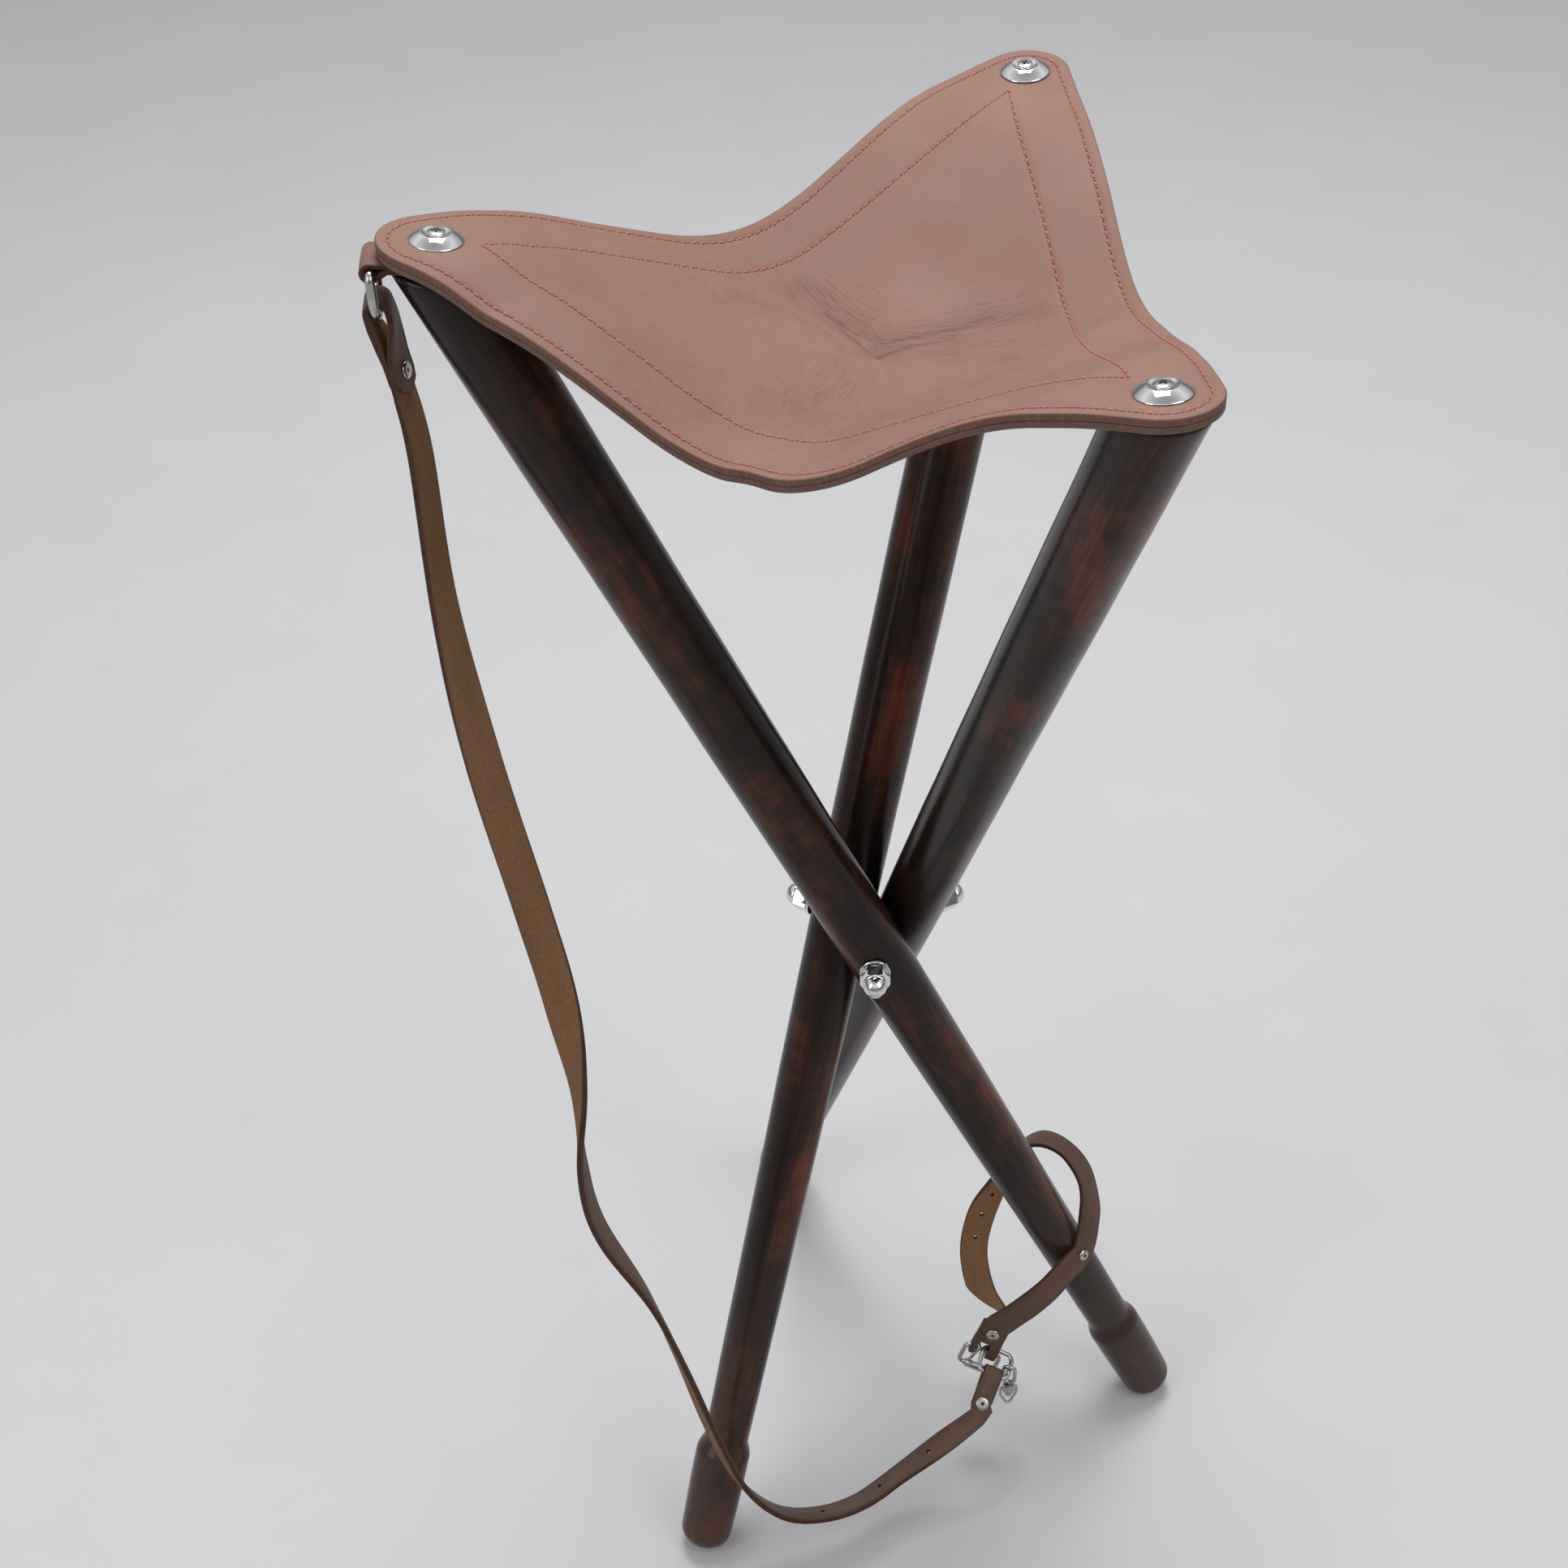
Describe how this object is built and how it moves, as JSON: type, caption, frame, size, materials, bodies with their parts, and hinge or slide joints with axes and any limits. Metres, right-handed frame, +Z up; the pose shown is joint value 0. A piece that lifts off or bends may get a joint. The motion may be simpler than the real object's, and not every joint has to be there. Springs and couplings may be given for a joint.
{
  "type": "folding tripod stool",
  "caption": "Folding tripod hunting stool: turned wooden legs crossing on a three-way bolt, a slung leather seat screwed to the leg tops, a carrying strap and a buckled leg strap.",
  "frame": {"origin": "on the floor under the middle of the stool's box, measured without the carrying strap", "axes": "+Z up; -Y towards the viewer of the picture; the ring tab's corner lies towards -X"},
  "size_m": [0.3807, 0.3466, 0.7425],
  "materials": {
    "wood": "dark satin varnish",
    "seat_leather": "smooth grain",
    "lining_leather": "matte flesh side",
    "strap_leather": "satin grain",
    "plated_steel": "bright plated"
  },
  "bodies": {
    "hub": {"three_way_bolt": "plated_steel", "pivot_washer_left": "plated_steel", "pivot_washer_rear": "plated_steel", "pivot_washer_right": "plated_steel", "cap_nut_left": "plated_steel", "cap_nut_rear": "plated_steel", "cap_nut_right": "plated_steel", "seat_leather": "seat_leather", "seat_lining": "lining_leather"},
    "left_leg": {"leg_left": "wood", "cup_washer_left": "plated_steel", "seat_screw_left": "plated_steel", "ring_tab": "strap_leather", "carry_strap": "strap_leather", "carry_rivet_top": "plated_steel", "carry_rivet_end": "plated_steel", "leg_strap": "strap_leather", "leg_strap_screw": "plated_steel", "leg_strap_rivet": "plated_steel", "buckle_frame": "plated_steel", "link_ring": "plated_steel", "hook_eye": "plated_steel"},
    "rear_leg": {"leg_rear": "wood", "cup_washer_rear": "plated_steel", "seat_screw_rear": "plated_steel"},
    "right_leg": {"leg_right": "wood", "cup_washer_right": "plated_steel", "seat_screw_right": "plated_steel"},
    "ring": {"d_ring": "plated_steel"},
    "roller": {"buckle_roller": "plated_steel"},
    "prong": {"buckle_prong": "plated_steel"},
    "swivel": {"hook_collar": "plated_steel"},
    "bail": {"hook_bail": "plated_steel"}
  },
  "joints": [
    {"name": "left_leg_fold", "type": "hinge", "parent": "hub", "child": "left_leg", "pos_m": [0.01826, -0.00876, 0.34927], "axis": [0, 1, 0], "range_deg": [0, 22], "deforming": ["seat_leather", "seat_lining", "carry_strap", "leg_strap"]},
    {"name": "rear_leg_fold", "type": "hinge", "parent": "hub", "child": "rear_leg", "pos_m": [0.01826, -0.00876, 0.34927], "axis": [0.866, -0.5, 0], "range_deg": [0, 22], "deforming": ["seat_leather", "seat_lining", "carry_strap", "leg_strap"]},
    {"name": "right_leg_fold", "type": "hinge", "parent": "hub", "child": "right_leg", "pos_m": [0.01826, -0.00876, 0.34927], "axis": [-0.866, -0.5, 0], "range_deg": [0, 22], "deforming": ["seat_leather", "seat_lining", "carry_strap", "leg_strap"]},
    {"name": "d_ring_swing", "type": "hinge", "parent": "left_leg", "child": "ring", "pos_m": [-0.18423, -0.03114, 0.729], "axis": [-0.1099, 0.9939, 0], "range_deg": [-20, 80], "deforming": ["carry_strap"]},
    {"name": "buckle_roller_spin", "type": "hinge", "parent": "left_leg", "child": "roller", "pos_m": [0.0742, -0.0575, 0.05279], "axis": [0.9222, -0.2005, -0.3308], "continuous": true},
    {"name": "buckle_prong_swing", "type": "hinge", "parent": "left_leg", "child": "prong", "pos_m": [0.07559, -0.05484, 0.06594], "axis": [0.9222, -0.2005, -0.3308], "range_deg": [-2, 60]},
    {"name": "hook_swivel", "type": "hinge", "parent": "left_leg", "child": "swivel", "pos_m": [0.09328, -0.0664, 0.0455], "axis": [0, 0, 1], "continuous": true},
    {"name": "hook_bail_swing", "type": "hinge", "parent": "swivel", "child": "bail", "pos_m": [0.09328, -0.0664, 0.0455], "axis": [0.9754, 0.2204, 0], "range_deg": [-60, 60]}
  ],
  "couplings": [
    {"joint": "rear_leg_fold", "follows": "left_leg_fold", "ratio": 1},
    {"joint": "right_leg_fold", "follows": "left_leg_fold", "ratio": 1}
  ]
}
